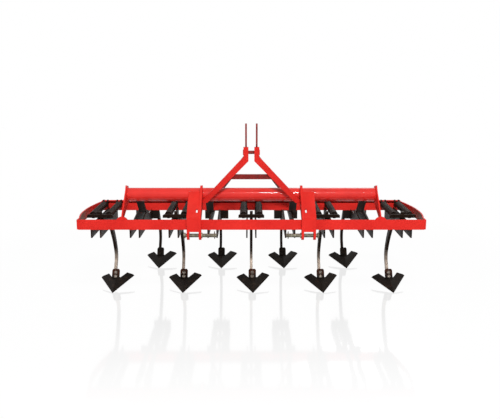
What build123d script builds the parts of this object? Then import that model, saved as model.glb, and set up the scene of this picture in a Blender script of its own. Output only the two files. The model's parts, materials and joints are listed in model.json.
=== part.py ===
from build123d import *
import math
import os

# Spring tine cultivator for a three-point hitch: nine sprung tines in two rows.
# Millimetres. Z is up with the ground at 0, the hitch end faces -Y, X runs across.

os.makedirs("parts", exist_ok=True)

# Y_SHIFT carries the face of the front beam so that the middle of the whole machine is at Y 0.
Y_SHIFT = -552.285

# Stations across the machine
TINE_SPACING = 228.5
FRONT_ROW_STEPS = (-4, -2, 0, 2, 4)
REAR_ROW_STEPS = (-3, -1, 1, 3)
ROW_PITCH = 540.0

# The pair of springs beside each tine, and the room between the outermost one and the beams' ends
SPRING_OFFSET = 48.0
SPRING_RADIUS = 22.5
SPRING_SIDE_GAP = 23.5

# Cross beams, angle section with the upright leg in front
BEAM_HEIGHT = 60.0
BEAM_BOTTOM = 510.0
BEAM_TOP = BEAM_BOTTOM + BEAM_HEIGHT
BEAM_LEG = 8.0
BEAM_FLANGE = 45.0
BEAM_TOE = 4.0
FRONT_BEAM_HALF = FRONT_ROW_STEPS[-1] * TINE_SPACING + SPRING_OFFSET + SPRING_RADIUS + SPRING_SIDE_GAP

# Bowed side bars, flat bar on edge. The outer face in plan, each point given as
# (distance out from the front end of the bar, distance back from the front beam's face).
SIDE_BAR_THICK = 8.0
SIDE_BAR_INSET = 2.0
SIDE_BAR_HEIGHT = 57.0
SIDE_BAR_BOW = ((0.0, 58.0), (15.0, 138.0), (20.0, 267.0), (14.0, 360.0),
                (2.0, 428.0), (-13.0, 502.0), (-24.0, ROW_PITCH))
SIDE_BAR_BOTTOM = BEAM_BOTTOM + SIDE_BAR_INSET
SIDE_BAR_FRONT_X = FRONT_BEAM_HALF + SIDE_BAR_THICK
SIDE_BAR_REAR_X = SIDE_BAR_FRONT_X + SIDE_BAR_BOW[-1][0]
SIDE_BAR_REAR_END = ROW_PITCH + BEAM_FLANGE
REAR_BEAM_HALF = SIDE_BAR_REAR_X - SIDE_BAR_THICK

# Pipe over the frame and its end plates
PIPE_RADIUS = 40.5
PIPE_BORE = 34.5
PIPE_Y = 200.0
PIPE_Z = 681.5
PIPE_HALF = 748.0
END_PLATE_THICK = 8.0
# End plate outline: the foot on the beam as (Y, height over the beam) and the head round the
# pipe as (Y, Z) from the pipe's centre
END_PLATE_FOOT = ((0.0, 12.0), (0.0, 0.0), (46.0, 0.0))
END_PLATE_HEAD = ((30.0, -46.0), (46.0, -10.0), (30.0, 46.0), (-26.0, 60.0), (-48.0, 30.0))
END_PLATE_NECK = (20.0, 34.0)
FOOT_TAB_HALF = 32.0
FOOT_TAB_RISE = 18.0
FOOT_TAB_THICK = 8.0

# Hitch brackets: two ears and a front plate
EAR_CENTRES = (298.0, 367.0)
EAR_THICK = 14.0
EAR_FRONT = -34.0
HITCH_PIN_Y = -8.0
HITCH_PIN_Z = 478.0
HITCH_PIN_RADIUS = 11.0
PIN_CLEARANCE = 0.05
EAR_ROUND = 26.0
HITCH_PIN_OUTER = 384.0
HITCH_PIN_INNER = 203.0
HITCH_PIN_NUT = 10.0
HITCH_PIN_COLLAR = 6.0
HITCH_PIN_HEX = 17.0
EAR_SEAT = 20.0
EAR_HEAD_DEPTH = 30.0
EAR_HEAD_FRONT = 58.0
EAR_BACK_DROP = 44.0
BRACKET_PLATE_THICK = 10.0
BRACKET_PLATE_DROP = 4.0
BRACKET_PLATE_BOTTOM = 505.0
BRACKET_KNEE_Z = 590.0
OUTER_EAR_RISE = 28.0
INNER_EAR_RISE = 61.0
BRACKET_SLOT_X = 317.0
BRACKET_SLOT_Z = 620.0
BRACKET_SLOT_WIDTH = 10.0
BRACKET_SLOT_HEIGHT = 20.0

# Mast: two legs in one leaning plane, stays to the rear beam, plates for the top link
MAST_FOOT_Y = 150.0
MAST_FOOT_Z = 640.0
MAST_TOP_Y = 78.0
MAST_TOP_Z = 985.0
MAST_LEG_WIDTH = 30.0
MAST_LEG_THICK = 12.0
MAST_HEAD_OUTER = 46.0
MAST_HEAD_INNER = 17.0
# Middle of a leg in its own leaning plane, as (X, distance up the slope)
LEG_FOOT = (EAR_CENTRES[0] - EAR_THICK / 2, -3.5)
LEG_KNEE = (30.0, 288.5)
LEG_FOOT_CUT = 4.0
LINK_PLATE_CENTRE = 31.0
LINK_PLATE_THICK = 10.0
LINK_PLATE_DEPTH = 54.0
LINK_PLATE_DROP = 80.0
LINK_PLATE_NOSE = 12.0
LINK_PLATE_SHOULDER = 14.0
LINK_PLATE_HEAD_DEPTH = 40.0
TOP_LINK_HEIGHT = 610.0
TOP_LINK_HOLE = 9.75
TOP_LINK_SETBACK = 13.0
TOP_LINK_MARGIN = 30.0
TOP_LINK_Z = HITCH_PIN_Z + TOP_LINK_HEIGHT
LINK_PLATE_TOP = TOP_LINK_Z + TOP_LINK_MARGIN
LINK_PLATE_BOTTOM = MAST_TOP_Z - LINK_PLATE_DROP
MAST_BOLT_DROP = 35.0
MAST_BOLT_SETBACK = 27.0
MAST_BOLT_RADIUS = 10.0
MAST_BOLT_HEAD = 12.0
MAST_BOLT_HEAD_RADIUS = 17.0
MAST_BOLT_Z = MAST_TOP_Z - MAST_BOLT_DROP

# Stays from the link plates down to the rear beam, flat bar on edge
STAY_WIDTH = 10.0
STAY_HEIGHT = 30.0
STAY_HEAD_X = 20.0
STAY_HEAD_Y = 108.0
STAY_HEAD_DROP = 47.0
STAY_FOOT_X = 294.0
STAY_FOOT_Y = 16.0
STAY_FOOT_RISE = 19.0
TRIM_REACH = 600.0

# Cross bar between the mast legs, laid on the back of them
CROSS_BAR_RISE = 166.0
CROSS_BAR_HALF = 142.0
CROSS_BAR_WIDTH = 30.0
CROSS_BAR_THICK = 8.0

# Flat struts that lean from under the pipe to the top edges of the carrier plates
STRUT_CENTRES = (-678.0, -256.0, 256.0, 678.0)
STRUT_HALF = 22.0
STRUT_HEAD_BACK = 14.0
STRUT_HEAD_FRONT = 6.0
STRUT_BITE = 3.0
STRUT_FOOT_Y = 302.0

# Tine: centre line in side view as (Y from the beam face, Z, half depth)
TINE_THICK = 18.0
TINE_LINE = ((166.0, 583.0, 11.0), (170.0, 556.0, 14.0), (182.0, 522.0, 17.0), (208.0, 497.0, 21.0),
             (250.0, 491.0, 24.0), (300.0, 494.0, 24.0), (350.0, 487.0, 23.0), (425.0, 449.0, 22.0),
             (488.0, 384.0, 21.0), (544.0, 302.0, 19.0), (577.0, 232.0, 17.0), (582.0, 186.0, 15.0),
             (564.0, 142.0, 13.0), (536.4, 101.0, 13.0), (522.1, 78.0, 13.0), (509.9, 58.5, 13.0))
PIVOT_Y = 200.0
PIVOT_Z = 487.0
PIVOT_RADIUS = 10.0
BOSS_RADIUS = 24.0
BOSS_FLATS = 12
CROSSHEAD_HALF = 78.0
CROSSHEAD_BOTTOM = 547.0
CROSSHEAD_TOP = 568.0
CROSSHEAD_THICK = 10.0
CROSSHEAD_Y = 150.0
CROSSHEAD_BEVEL = 7.0

# Cheek plates that carry each tine, and the carriers of the rear row between the beams.
# Each top edge is given as (Y, Z) points behind the beam that the plates hang from.
CHEEK_OFFSET = 26.5
CHEEK_THICK = 8.0
CHEEK_OUTER = CHEEK_OFFSET + CHEEK_THICK / 2
CHEEK_INNER = CHEEK_OFFSET - CHEEK_THICK / 2
CHEEK_NOSE_Y = 30.0
CHEEK_BOTTOM = 453.0
FRONT_CHEEK_TOP = ((ROW_PITCH, 530.0), (165.0, 530.0), (BEAM_FLANGE, 514.0))
CARRIER_TOP = ((ROW_PITCH, 555.0), (352.0, 555.0), (BEAM_FLANGE, 514.0))
REAR_CHEEK_TOP = ((538.0, 514.0), (BEAM_FLANGE, 514.0))
SIDE_GAP = 0.3
PIVOT_HEAD = 11.0
PIVOT_HEAD_RADIUS = 16.0
HOLE_FLATS = 12
STOP_Y = 300.0
STOP_SIZE = 12.0
STOP_TOP = 468.6
GUSSET_OUTER = 77.0
GUSSET_THICK = 8.0

# Springs: two to a tine, from the crosshead back to a pair of lugs. The front row's lugs stand
# on the rear beam and the rear row's on a plate across the tails of its cheeks.
SPRING_FLATS = 12
SPRING_Z = 557.0
SPRING_START = 172.0
SPRING_END = 508.0
REAR_SPRING_FALL = 19.0
HOOK_RADIUS = 4.5
HOOK_FLATS = 6
LUG_CENTRES = (31.0, 57.0)
LUG_THICK = 8.0
LUG_FRONT = 514.0
LUG_BELOW = 20.0
LUG_ABOVE = 25.0
LUG_BEVEL = 8.0
LUG_PIN_SETBACK = 12.0
TAIL_PLATE_HALF = 64.0
TAIL_PLATE_THICK = 10.0
TAIL_PLATE_BOTTOM = 480.0
TAIL_PLATE_TOP = 556.0

# Duckfoot sweep: corners of one wing as (X, Y) from the nose, and how far the tip and the
# heel stand over the nose
SWEEP_THICK = 7.0
SWEEP_NOSE_Y = 348.0
WING_OUTLINE = ((0.0, 0.0), (111.0, 194.0), (62.0, 206.0), (27.0, 150.0), (0.0, 150.0))
WING_TIP = WING_OUTLINE[1]
WING_HEEL = WING_OUTLINE[-1]
WING_TIP_RISE = 50.0
WING_HEEL_RISE = 57.45
NECK_HALF = 25.0
NECK_START_Y = 138.0
NECK_RUN = 32.86
NECK_RISE = 52.58
# The wings sit a few degrees round and over on their necks, and to one side, as on the machine shown
WING_TURN_ANGLE = 8.0
WING_ROLL_ANGLE = 4.0
WING_SIDE_STEP = 7.0


def side_plane(x):
    return Plane(origin=(x, Y_SHIFT, 0), x_dir=(0, 1, 0), z_dir=(1, 0, 0))


def front_stations():
    return [step * TINE_SPACING for step in FRONT_ROW_STEPS]


def rear_stations():
    return [step * TINE_SPACING for step in REAR_ROW_STEPS]


def all_stations():
    found = [(x, 0.0) for x in front_stations()]
    return found + [(x, ROW_PITCH) for x in rear_stations()]


def arcs_through(points):
    for first in range(0, len(points) - 2, 2):
        ThreePointArc(*points[first:first + 3])


def angle_profile(y):
    top = BEAM_TOP
    low = BEAM_BOTTOM
    return [(y, low), (y + BEAM_FLANGE, low), (y + BEAM_FLANGE, low + BEAM_TOE),
            (y + BEAM_FLANGE - BEAM_TOE, low + BEAM_LEG), (y + BEAM_LEG, low + BEAM_LEG),
            (y + BEAM_LEG, top - BEAM_TOE), (y + BEAM_TOE, top), (y, top)]


with BuildPart() as front_beam:
    with BuildSketch(side_plane(-FRONT_BEAM_HALF)):
        with BuildLine():
            Polyline(*angle_profile(0.0), close=True)
        make_face()
    extrude(amount=2 * FRONT_BEAM_HALF)

with BuildPart() as rear_beam:
    with BuildSketch(side_plane(-REAR_BEAM_HALF)):
        with BuildLine():
            Polyline(*angle_profile(ROW_PITCH), close=True)
        make_face()
    extrude(amount=2 * REAR_BEAM_HALF)


def side_bar(side):
    plan = Plane(origin=(0, Y_SHIFT, SIDE_BAR_BOTTOM), x_dir=(1, 0, 0), z_dir=(0, 0, 1))
    outer = [(side * (SIDE_BAR_FRONT_X + out), y) for out, y in SIDE_BAR_BOW]
    inner = [(x - side * SIDE_BAR_THICK, y) for x, y in outer]
    with BuildPart() as bar:
        with BuildSketch(plan):
            with BuildLine():
                for edge in (outer, inner):
                    arcs_through(edge)
                    Line((edge[0][0], 0), edge[0])
                    Line(edge[-1], (edge[-1][0], SIDE_BAR_REAR_END))
                Line((inner[0][0], 0), (outer[0][0], 0))
                Line((inner[-1][0], SIDE_BAR_REAR_END), (outer[-1][0], SIDE_BAR_REAR_END))
            make_face()
        extrude(amount=SIDE_BAR_HEIGHT)
    return bar


side_bar_left = side_bar(-1)
side_bar_right = side_bar(1)

with BuildPart() as top_pipe:
    with BuildSketch(side_plane(-PIPE_HALF)):
        with Locations((PIPE_Y, PIPE_Z)):
            Circle(PIPE_RADIUS)
            Circle(PIPE_BORE, mode=Mode.SUBTRACT)
    extrude(amount=2 * PIPE_HALF)

END_PLATE_OUTLINE = [(y, BEAM_TOP + z) for y, z in END_PLATE_FOOT]
END_PLATE_OUTLINE = END_PLATE_OUTLINE + [(PIPE_Y + y, PIPE_Z + z) for y, z in END_PLATE_HEAD]
END_PLATE_OUTLINE = END_PLATE_OUTLINE + [(END_PLATE_NECK[0], BEAM_TOP + END_PLATE_NECK[1])]

with BuildPart() as pipe_end_plates:
    for side in (-1, 1):
        inner_x = side * PIPE_HALF
        tab_plane = Plane(origin=(inner_x + side * END_PLATE_THICK / 2, Y_SHIFT, BEAM_TOP),
                          x_dir=(1, 0, 0), z_dir=(0, -1, 0))
        with BuildSketch(side_plane(inner_x)):
            with BuildLine():
                Polyline(*END_PLATE_OUTLINE, close=True)
            make_face()
        extrude(amount=side * END_PLATE_THICK)
        with BuildSketch(tab_plane):
            with BuildLine():
                Line((-FOOT_TAB_HALF, 0), (FOOT_TAB_HALF, 0))
                ThreePointArc((FOOT_TAB_HALF, 0), (0, FOOT_TAB_RISE), (-FOOT_TAB_HALF, 0))
            make_face()
        extrude(amount=-FOOT_TAB_THICK)


def ear_outline(top_z):
    head_back = PIPE_Y - EAR_HEAD_DEPTH
    head_front = PIPE_Y - EAR_HEAD_FRONT
    return [(0.0, HITCH_PIN_Z), (0.0, BEAM_TOP), (EAR_SEAT, BEAM_TOP), (head_back, PIPE_Z - EAR_BACK_DROP),
            (head_back, top_z), (head_front, top_z), (EAR_FRONT, BRACKET_KNEE_Z), (EAR_FRONT, HITCH_PIN_Z)]


def hitch_bracket(side):
    plate_width = EAR_CENTRES[1] - EAR_CENTRES[0] - EAR_THICK
    plate_middle = side * (EAR_CENTRES[0] + EAR_CENTRES[1]) / 2
    plate_top = PIPE_Z + OUTER_EAR_RISE
    head_front = PIPE_Y - EAR_HEAD_FRONT
    thick = BRACKET_PLATE_THICK
    with BuildPart() as bracket:
        for centre, rise in zip(EAR_CENTRES, (INNER_EAR_RISE, OUTER_EAR_RISE)):
            with BuildSketch(side_plane(side * centre - EAR_THICK / 2)):
                with BuildLine():
                    Polyline(*ear_outline(PIPE_Z + rise), close=True)
                make_face()
                with Locations((HITCH_PIN_Y, HITCH_PIN_Z)):
                    Circle(EAR_ROUND)
                with Locations((0.0, HITCH_PIN_Z)):
                    Rectangle(EAR_ROUND, 2 * EAR_ROUND, align=(Align.MIN, Align.CENTER), mode=Mode.SUBTRACT)
                with Locations((HITCH_PIN_Y, HITCH_PIN_Z)):
                    Circle(HITCH_PIN_RADIUS + PIN_CLEARANCE, mode=Mode.SUBTRACT)
                with Locations((PIPE_Y, PIPE_Z)):
                    Circle(PIPE_RADIUS, mode=Mode.SUBTRACT)
            extrude(amount=EAR_THICK)
        with BuildSketch(side_plane(plate_middle - plate_width / 2)):
            with BuildLine():
                Polyline((EAR_FRONT, BRACKET_PLATE_BOTTOM), (EAR_FRONT, BRACKET_KNEE_Z),
                         (head_front, plate_top), (head_front + thick, plate_top - BRACKET_PLATE_DROP),
                         (EAR_FRONT + thick, BRACKET_KNEE_Z - BRACKET_PLATE_DROP),
                         (EAR_FRONT + thick, BRACKET_PLATE_BOTTOM), close=True)
            make_face()
        extrude(amount=plate_width)
        with Locations((side * BRACKET_SLOT_X, Y_SHIFT + EAR_FRONT, BRACKET_SLOT_Z)):
            Box(BRACKET_SLOT_WIDTH, PIPE_Y, BRACKET_SLOT_HEIGHT, mode=Mode.SUBTRACT)
    return bracket


hitch_bracket_left = hitch_bracket(-1)
hitch_bracket_right = hitch_bracket(1)


def hitch_pin(side):
    inner_ear_face = EAR_CENTRES[0] - EAR_THICK / 2
    with BuildPart() as pin:
        with BuildSketch(side_plane(side * HITCH_PIN_INNER)):
            with Locations((HITCH_PIN_Y, HITCH_PIN_Z)):
                Circle(HITCH_PIN_RADIUS)
        extrude(amount=side * (HITCH_PIN_OUTER - HITCH_PIN_INNER))
        for start_x, length in ((inner_ear_face - HITCH_PIN_COLLAR, HITCH_PIN_COLLAR),
                                (HITCH_PIN_OUTER, HITCH_PIN_NUT)):
            with BuildSketch(side_plane(side * start_x)):
                with Locations((HITCH_PIN_Y, HITCH_PIN_Z)):
                    RegularPolygon(HITCH_PIN_HEX, 6)
            extrude(amount=side * length)
    return pin


hitch_pin_left = hitch_pin(-1)
hitch_pin_right = hitch_pin(1)

# The leaning plane of the two mast legs: local x across, local y up the slope
mast_rise = math.hypot(MAST_TOP_Y - MAST_FOOT_Y, MAST_TOP_Z - MAST_FOOT_Z)
mast_normal = (0.0, -(MAST_TOP_Z - MAST_FOOT_Z) / mast_rise, (MAST_TOP_Y - MAST_FOOT_Y) / mast_rise)
mast_plane = Plane(origin=(0, Y_SHIFT + MAST_FOOT_Y, MAST_FOOT_Z), x_dir=(1, 0, 0), z_dir=mast_normal)


def mast_leg(side):
    run = math.hypot(LEG_FOOT[0] - LEG_KNEE[0], LEG_FOOT[1] - LEG_KNEE[1])
    across = (LEG_KNEE[1] - LEG_FOOT[1]) / run
    along = (LEG_FOOT[0] - LEG_KNEE[0]) / run
    half = MAST_LEG_WIDTH / 2
    rise = half / across
    slant = half / along
    bend = (MAST_HEAD_OUTER - LEG_KNEE[0]) * across / along
    toe = LEG_FOOT[0] - (LEG_FOOT_CUT - LEG_FOOT[1] + slant) * along / across
    points = [(toe, LEG_FOOT_CUT), (LEG_FOOT[0], LEG_FOOT_CUT), (LEG_FOOT[0], LEG_FOOT[1] + slant),
              (MAST_HEAD_OUTER, LEG_KNEE[1] + slant - bend), (MAST_HEAD_OUTER, mast_rise),
              (MAST_HEAD_INNER, mast_rise), (MAST_HEAD_INNER, LEG_KNEE[1] - rise)]
    with BuildPart() as leg:
        with BuildSketch(mast_plane):
            with BuildLine():
                Polyline(*[(side * x, y) for x, y in points], close=True)
            make_face()
        extrude(amount=MAST_LEG_THICK)
    return leg


mast_leg_left = mast_leg(-1)
mast_leg_right = mast_leg(1)


def mast_depth(z):
    return MAST_FOOT_Y + (MAST_TOP_Y - MAST_FOOT_Y) * (z - MAST_FOOT_Z) / (MAST_TOP_Z - MAST_FOOT_Z)


mast_top_face = mast_depth(MAST_TOP_Z)
link_low_face = mast_depth(LINK_PLATE_BOTTOM)
link_nose = mast_top_face - LINK_PLATE_NOSE
link_heel = mast_top_face + LINK_PLATE_HEAD_DEPTH
link_shoulder = LINK_PLATE_TOP - LINK_PLATE_SHOULDER
LINK_PLATE_OUTLINE = ((link_low_face, LINK_PLATE_BOTTOM), (mast_top_face, MAST_TOP_Z),
                      (link_nose, MAST_TOP_Z + LINK_PLATE_SHOULDER), (link_nose, link_shoulder),
                      (link_nose + LINK_PLATE_NOSE, LINK_PLATE_TOP),
                      (link_heel - LINK_PLATE_NOSE, LINK_PLATE_TOP), (link_heel, link_shoulder),
                      (mast_top_face + LINK_PLATE_DEPTH, MAST_TOP_Z),
                      (link_low_face + LINK_PLATE_DEPTH, LINK_PLATE_BOTTOM))
MAST_BOLT_Y = mast_top_face + MAST_BOLT_SETBACK

with BuildPart() as top_link_plates:
    for side in (-1, 1):
        with BuildSketch(side_plane(side * LINK_PLATE_CENTRE - LINK_PLATE_THICK / 2)):
            with BuildLine():
                Polyline(*LINK_PLATE_OUTLINE, close=True)
            make_face()
            with Locations((mast_top_face + TOP_LINK_SETBACK, TOP_LINK_Z)):
                Circle(TOP_LINK_HOLE, mode=Mode.SUBTRACT)
            with Locations((MAST_BOLT_Y, MAST_BOLT_Z)):
                RegularPolygon(MAST_BOLT_RADIUS + PIN_CLEARANCE, HOLE_FLATS,
                               major_radius=False, mode=Mode.SUBTRACT)
        extrude(amount=LINK_PLATE_THICK)

LINK_PLATE_OUTER = LINK_PLATE_CENTRE + LINK_PLATE_THICK / 2

with BuildPart() as mast_bolt:
    with BuildSketch(side_plane(-LINK_PLATE_OUTER)):
        with Locations((MAST_BOLT_Y, MAST_BOLT_Z)):
            Circle(MAST_BOLT_RADIUS)
    extrude(amount=2 * LINK_PLATE_OUTER)
    for low_x in (-LINK_PLATE_OUTER - MAST_BOLT_HEAD, LINK_PLATE_OUTER):
        with BuildSketch(side_plane(low_x)):
            with Locations((MAST_BOLT_Y, MAST_BOLT_Z)):
                RegularPolygon(MAST_BOLT_HEAD_RADIUS, 6)
        extrude(amount=MAST_BOLT_HEAD)

with BuildPart() as mast_stays:
    for side in (-1, 1):
        head = (side * STAY_HEAD_X, Y_SHIFT + STAY_HEAD_Y, MAST_TOP_Z - STAY_HEAD_DROP)
        foot = (side * STAY_FOOT_X, Y_SHIFT + ROW_PITCH + STAY_FOOT_Y, BEAM_BOTTOM + STAY_FOOT_RISE)
        run = Vector(*foot) - Vector(*head)
        with BuildSketch(Plane(origin=head, x_dir=(side * run.Y, -side * run.X, 0), z_dir=run)):
            Rectangle(STAY_WIDTH, STAY_HEIGHT)
        extrude(amount=run.length)
    with Locations((0, Y_SHIFT, MAST_TOP_Z)):
        Box(2 * LINK_PLATE_OUTER, TRIM_REACH, TRIM_REACH, mode=Mode.SUBTRACT)
    with Locations((0, Y_SHIFT + ROW_PITCH, BEAM_TOP)):
        Box(2 * TRIM_REACH, TRIM_REACH, TRIM_REACH, mode=Mode.SUBTRACT,
            align=(Align.CENTER, Align.MIN, Align.CENTER))

with BuildPart() as mast_cross_bar:
    with BuildSketch(mast_plane):
        with Locations((0, CROSS_BAR_RISE)):
            Rectangle(2 * CROSS_BAR_HALF, CROSS_BAR_WIDTH)
    extrude(amount=-CROSS_BAR_THICK)


def carrier_top(y):
    (_, high), (crest, _), (low_y, low) = CARRIER_TOP
    return low + (high - low) * min(1.0, (y - low_y) / (crest - low_y))


pipe_under = PIPE_Z - PIPE_RADIUS
strut_foot_back = STRUT_FOOT_Y + STRUT_HEAD_FRONT + STRUT_HEAD_BACK

with BuildPart() as pipe_struts:
    for centre in STRUT_CENTRES:
        with BuildSketch(side_plane(centre - STRUT_HALF)):
            with BuildLine():
                Polyline((PIPE_Y - STRUT_HEAD_FRONT, pipe_under + STRUT_BITE),
                         (PIPE_Y + STRUT_HEAD_BACK, pipe_under + STRUT_BITE),
                         (strut_foot_back, carrier_top(strut_foot_back)),
                         (STRUT_FOOT_Y, carrier_top(STRUT_FOOT_Y)), close=True)
            make_face()
            with Locations((PIPE_Y, PIPE_Z)):
                Circle(PIPE_RADIUS, mode=Mode.SUBTRACT)
        extrude(amount=2 * STRUT_HALF)


def cheeks(stations, row_y, nose_y, top_edge, bolted):
    top = [(row_y + y, z) for y, z in top_edge]
    with BuildPart() as plates:
        for x in stations:
            for side in (-1, 1):
                with BuildSketch(side_plane(x + side * CHEEK_OFFSET - CHEEK_THICK / 2)):
                    with BuildLine():
                        Polyline((row_y + nose_y, CHEEK_BOTTOM), (top[0][0], CHEEK_BOTTOM), *top,
                                 (top[-1][0], BEAM_BOTTOM), (row_y + nose_y, BEAM_BOTTOM), close=True)
                    make_face()
                    if bolted:
                        with Locations((row_y + PIVOT_Y, PIVOT_Z)):
                            RegularPolygon(PIVOT_RADIUS + PIN_CLEARANCE, HOLE_FLATS,
                                           major_radius=False, mode=Mode.SUBTRACT)
                extrude(amount=CHEEK_THICK)
    return plates


front_row_cheeks = cheeks(front_stations(), 0.0, CHEEK_NOSE_Y, FRONT_CHEEK_TOP, True)
carrier_cheeks = cheeks(rear_stations(), 0.0, CHEEK_NOSE_Y, CARRIER_TOP, False)
rear_row_cheeks = cheeks(rear_stations(), ROW_PITCH, 0.0, REAR_CHEEK_TOP, True)

with BuildPart() as rear_gussets:
    for x in rear_stations():
        for side in (-1, 1):
            middle = x + side * (CHEEK_OUTER + GUSSET_OUTER) / 2
            with Locations((middle, Y_SHIFT + ROW_PITCH, BEAM_BOTTOM)):
                Box(GUSSET_OUTER - CHEEK_OUTER, GUSSET_THICK, BEAM_BOTTOM - CHEEK_BOTTOM,
                    align=(Align.CENTER, Align.MIN, Align.MAX))

with BuildPart() as pivot_bolts:
    for x, row_y in all_stations():
        with BuildSketch(side_plane(x - CHEEK_OUTER)):
            with Locations((row_y + PIVOT_Y, PIVOT_Z)):
                Circle(PIVOT_RADIUS)
        extrude(amount=2 * CHEEK_OUTER)
        for low_x in (x - CHEEK_OUTER - PIVOT_HEAD, x + CHEEK_OUTER):
            with BuildSketch(side_plane(low_x)):
                with Locations((row_y + PIVOT_Y, PIVOT_Z)):
                    RegularPolygon(PIVOT_HEAD_RADIUS, 6)
            extrude(amount=PIVOT_HEAD)

with BuildPart() as tine_stops:
    for x, row_y in all_stations():
        with Locations((x, Y_SHIFT + row_y + STOP_Y, STOP_TOP)):
            Box(2 * CHEEK_INNER, STOP_SIZE, STOP_SIZE,
                align=(Align.CENTER, Align.CENTER, Align.MAX))


def lug_outline(y, z):
    back = y + ROW_PITCH - LUG_FRONT
    return [(y, z - LUG_BELOW), (back, z - LUG_BELOW), (back, z + LUG_ABOVE),
            (y + LUG_BEVEL, z + LUG_ABOVE), (y, z + LUG_ABOVE - LUG_BEVEL)]


tail_y = ROW_PITCH + REAR_CHEEK_TOP[0][0]
rear_lug_y = tail_y - ROW_PITCH + LUG_FRONT
lug_places = [(x, LUG_FRONT, SPRING_Z) for x in front_stations()]
lug_places += [(x, rear_lug_y, SPRING_Z - REAR_SPRING_FALL) for x in rear_stations()]

with BuildPart() as spring_anchors:
    for x, y, z in lug_places:
        for side in (-1, 1):
            for centre in LUG_CENTRES:
                with BuildSketch(side_plane(x + side * centre - LUG_THICK / 2)):
                    with BuildLine():
                        Polyline(*lug_outline(y, z), close=True)
                    make_face()
                extrude(amount=LUG_THICK)
            with BuildSketch(side_plane(x + side * LUG_CENTRES[0])):
                with Locations((y + LUG_PIN_SETBACK, z)):
                    RegularPolygon(HOOK_RADIUS, HOOK_FLATS)
            extrude(amount=side * (LUG_CENTRES[1] - LUG_CENTRES[0]))
    for x in rear_stations():
        with Locations((x, Y_SHIFT + tail_y, TAIL_PLATE_BOTTOM)):
            Box(2 * TAIL_PLATE_HALF, TAIL_PLATE_THICK, TAIL_PLATE_TOP - TAIL_PLATE_BOTTOM,
                align=(Align.CENTER, Align.MIN, Align.MIN))


def spring_pairs(stations, row_y, lug_y, fall):
    """Plain bodies for the springs, each with a straight hook at either end."""
    head = Vector(0, Y_SHIFT + row_y + CROSSHEAD_Y + CROSSHEAD_THICK + SIDE_GAP, SPRING_Z)
    tail = Vector(0, Y_SHIFT + lug_y + LUG_PIN_SETBACK - HOOK_RADIUS - SIDE_GAP, SPRING_Z - fall)
    run = tail - head
    lead = SPRING_START - CROSSHEAD_Y - CROSSHEAD_THICK
    with BuildPart() as pairs:
        for x in stations:
            for side in (-1, 1):
                start = head + Vector(x + side * SPRING_OFFSET, 0, 0)
                place = Plane(origin=start, x_dir=(1, 0, 0), z_dir=run)
                with BuildSketch(place.offset(lead)):
                    RegularPolygon(SPRING_RADIUS, SPRING_FLATS)
                extrude(amount=SPRING_END - SPRING_START)
                with BuildSketch(place):
                    RegularPolygon(HOOK_RADIUS, HOOK_FLATS)
                extrude(amount=run.length)
    return pairs


springs_front = spring_pairs(front_stations(), 0.0, LUG_FRONT, 0.0)
springs_rear = spring_pairs(rear_stations(), ROW_PITCH, rear_lug_y, REAR_SPRING_FALL)


def tine_sides():
    upper = []
    lower = []
    count = len(TINE_LINE)
    for index in range(count):
        y, z, half = TINE_LINE[index]
        before = TINE_LINE[max(index - 1, 0)]
        after = TINE_LINE[min(index + 1, count - 1)]
        run = math.hypot(after[0] - before[0], after[1] - before[1])
        normal = ((before[1] - after[1]) / run, (after[0] - before[0]) / run)
        upper.append((y + half * normal[0], z + half * normal[1]))
        lower.append((y - half * normal[0], z - half * normal[1]))
    return upper, lower


def tine(x, row_y):
    upper, lower = tine_sides()
    upper = [(y + row_y, z) for y, z in upper]
    lower = [(y + row_y, z) for y, z in lower]
    head = Plane(origin=(x, Y_SHIFT + row_y + CROSSHEAD_Y, 0), x_dir=(1, 0, 0), z_dir=(0, -1, 0))
    half = CROSSHEAD_HALF
    low = CROSSHEAD_BOTTOM
    top = CROSSHEAD_TOP
    cut = CROSSHEAD_BEVEL
    sleeve = CHEEK_INNER - SIDE_GAP
    with BuildPart() as leaf:
        with BuildSketch(side_plane(x - TINE_THICK / 2)):
            with BuildLine():
                for edge in (upper, lower):
                    arcs_through(edge)
                    Line(edge[-2], edge[-1])
                Line(upper[-1], lower[-1])
                Line(lower[0], upper[0])
            make_face()
        extrude(amount=TINE_THICK)
        with BuildSketch(side_plane(x - sleeve)):
            with Locations((row_y + PIVOT_Y, PIVOT_Z)):
                RegularPolygon(BOSS_RADIUS, BOSS_FLATS)
        extrude(amount=2 * sleeve)
        with BuildSketch(head):
            with BuildLine():
                Polyline((-half, low), (half, low), (half, top - cut), (half - cut, top),
                         (-half + cut, top), (-half, top - cut), close=True)
            make_face()
        extrude(amount=-CROSSHEAD_THICK)
        with BuildSketch(side_plane(x - sleeve)):
            with Locations((row_y + PIVOT_Y, PIVOT_Z)):
                Circle(PIVOT_RADIUS + PIN_CLEARANCE)
        extrude(amount=2 * sleeve, mode=Mode.SUBTRACT)
    return leaf


wing_slope_y = WING_HEEL_RISE / WING_HEEL[1]
wing_slope_x = (WING_TIP_RISE - wing_slope_y * WING_TIP[1]) / WING_TIP[0]
nose_rise = SWEEP_THICK / math.sqrt(1 + wing_slope_x ** 2 + wing_slope_y ** 2)


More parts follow.
